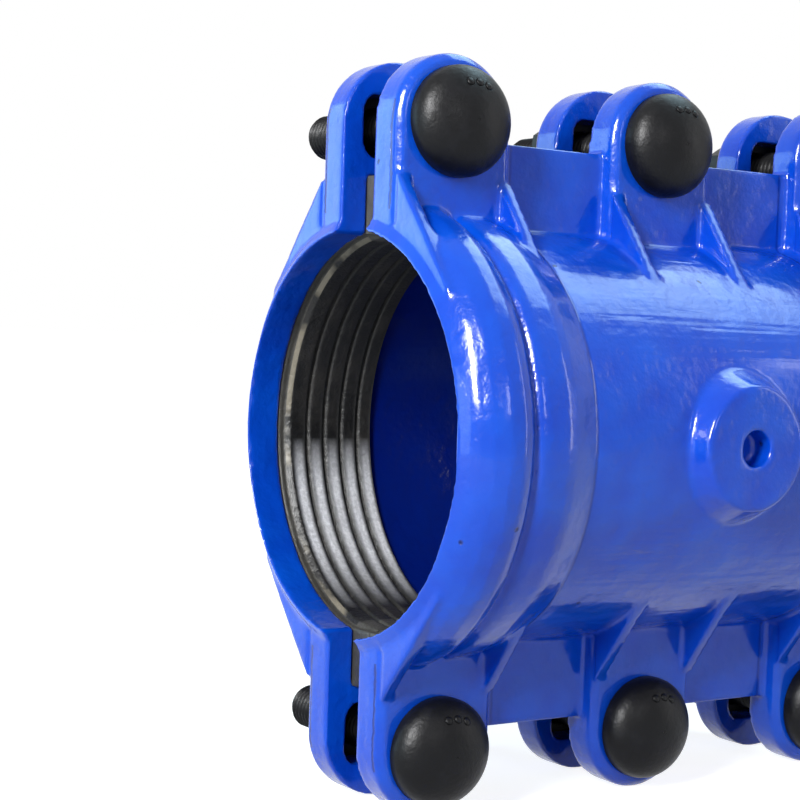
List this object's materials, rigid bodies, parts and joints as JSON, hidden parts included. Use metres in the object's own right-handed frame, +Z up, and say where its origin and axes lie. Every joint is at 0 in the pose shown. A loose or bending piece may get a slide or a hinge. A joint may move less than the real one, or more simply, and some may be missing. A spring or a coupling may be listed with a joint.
{
  "type": "pipe repair clamp",
  "caption": "Split-sleeve pipe repair clamp: two blue cast halves with ribbed lugs, ribbed rubber gaskets and domed bolts with nuts, to close round a leaking pipe.",
  "frame": {"origin": "on the pipe's axis, halfway between the two lips", "axes": "+X along the pipe, +Y from the front half with the boss towards the rear half with the nuts, +Z up"},
  "size_m": [0.2, 0.1413, 0.224],
  "materials": {
    "shell": "glossy",
    "gasket": "satin",
    "fastener": "satin"
  },
  "bodies": {
    "rear_half": {"rear_shell": "shell", "rear_gasket": "gasket", "washer_top_near": "fastener", "washer_top_middle": "fastener", "washer_top_far": "fastener", "washer_bottom_near": "fastener", "washer_bottom_middle": "fastener", "washer_bottom_far": "fastener"},
    "front_half": {"front_shell": "shell", "front_gasket": "gasket", "bolt_top_near": "fastener", "bolt_top_middle": "fastener", "bolt_top_far": "fastener", "bolt_bottom_near": "fastener", "bolt_bottom_middle": "fastener", "bolt_bottom_far": "fastener"},
    "nut_top_near": {"nut_top_near": "fastener"},
    "nut_top_middle": {"nut_top_middle": "fastener"},
    "nut_top_far": {"nut_top_far": "fastener"},
    "nut_bottom_near": {"nut_bottom_near": "fastener"},
    "nut_bottom_middle": {"nut_bottom_middle": "fastener"},
    "nut_bottom_far": {"nut_bottom_far": "fastener"}
  },
  "joints": [
    {"name": "half_opening", "type": "slide", "parent": "rear_half", "child": "front_half", "axis": [0, -1, 0], "range_m": [0, 0.018]},
    {"name": "nut_top_near_turn", "type": "hinge", "parent": "rear_half", "child": "nut_top_near", "pos_m": [-0.078, 0.03, 0.092], "axis": [0, 1, 0], "range_deg": [0, 3240]},
    {"name": "nut_top_middle_turn", "type": "hinge", "parent": "rear_half", "child": "nut_top_middle", "pos_m": [0, 0.03, 0.092], "axis": [0, 1, 0], "range_deg": [0, 3240]},
    {"name": "nut_top_far_turn", "type": "hinge", "parent": "rear_half", "child": "nut_top_far", "pos_m": [0.078, 0.03, 0.092], "axis": [0, 1, 0], "range_deg": [0, 3240]},
    {"name": "nut_bottom_near_turn", "type": "hinge", "parent": "rear_half", "child": "nut_bottom_near", "pos_m": [-0.078, 0.03, -0.092], "axis": [0, 1, 0], "range_deg": [0, 3240]},
    {"name": "nut_bottom_middle_turn", "type": "hinge", "parent": "rear_half", "child": "nut_bottom_middle", "pos_m": [0, 0.03, -0.092], "axis": [0, 1, 0], "range_deg": [0, 3240]},
    {"name": "nut_bottom_far_turn", "type": "hinge", "parent": "rear_half", "child": "nut_bottom_far", "pos_m": [0.078, 0.03, -0.092], "axis": [0, 1, 0], "range_deg": [0, 3240]}
  ],
  "couplings": [
    {"joint": "nut_top_near_turn", "follows": "half_opening", "rad_per_m": 3141.6},
    {"joint": "nut_top_middle_turn", "follows": "half_opening", "rad_per_m": 3141.6},
    {"joint": "nut_top_far_turn", "follows": "half_opening", "rad_per_m": 3141.6},
    {"joint": "nut_bottom_near_turn", "follows": "half_opening", "rad_per_m": 3141.6},
    {"joint": "nut_bottom_middle_turn", "follows": "half_opening", "rad_per_m": 3141.6},
    {"joint": "nut_bottom_far_turn", "follows": "half_opening", "rad_per_m": 3141.6}
  ]
}
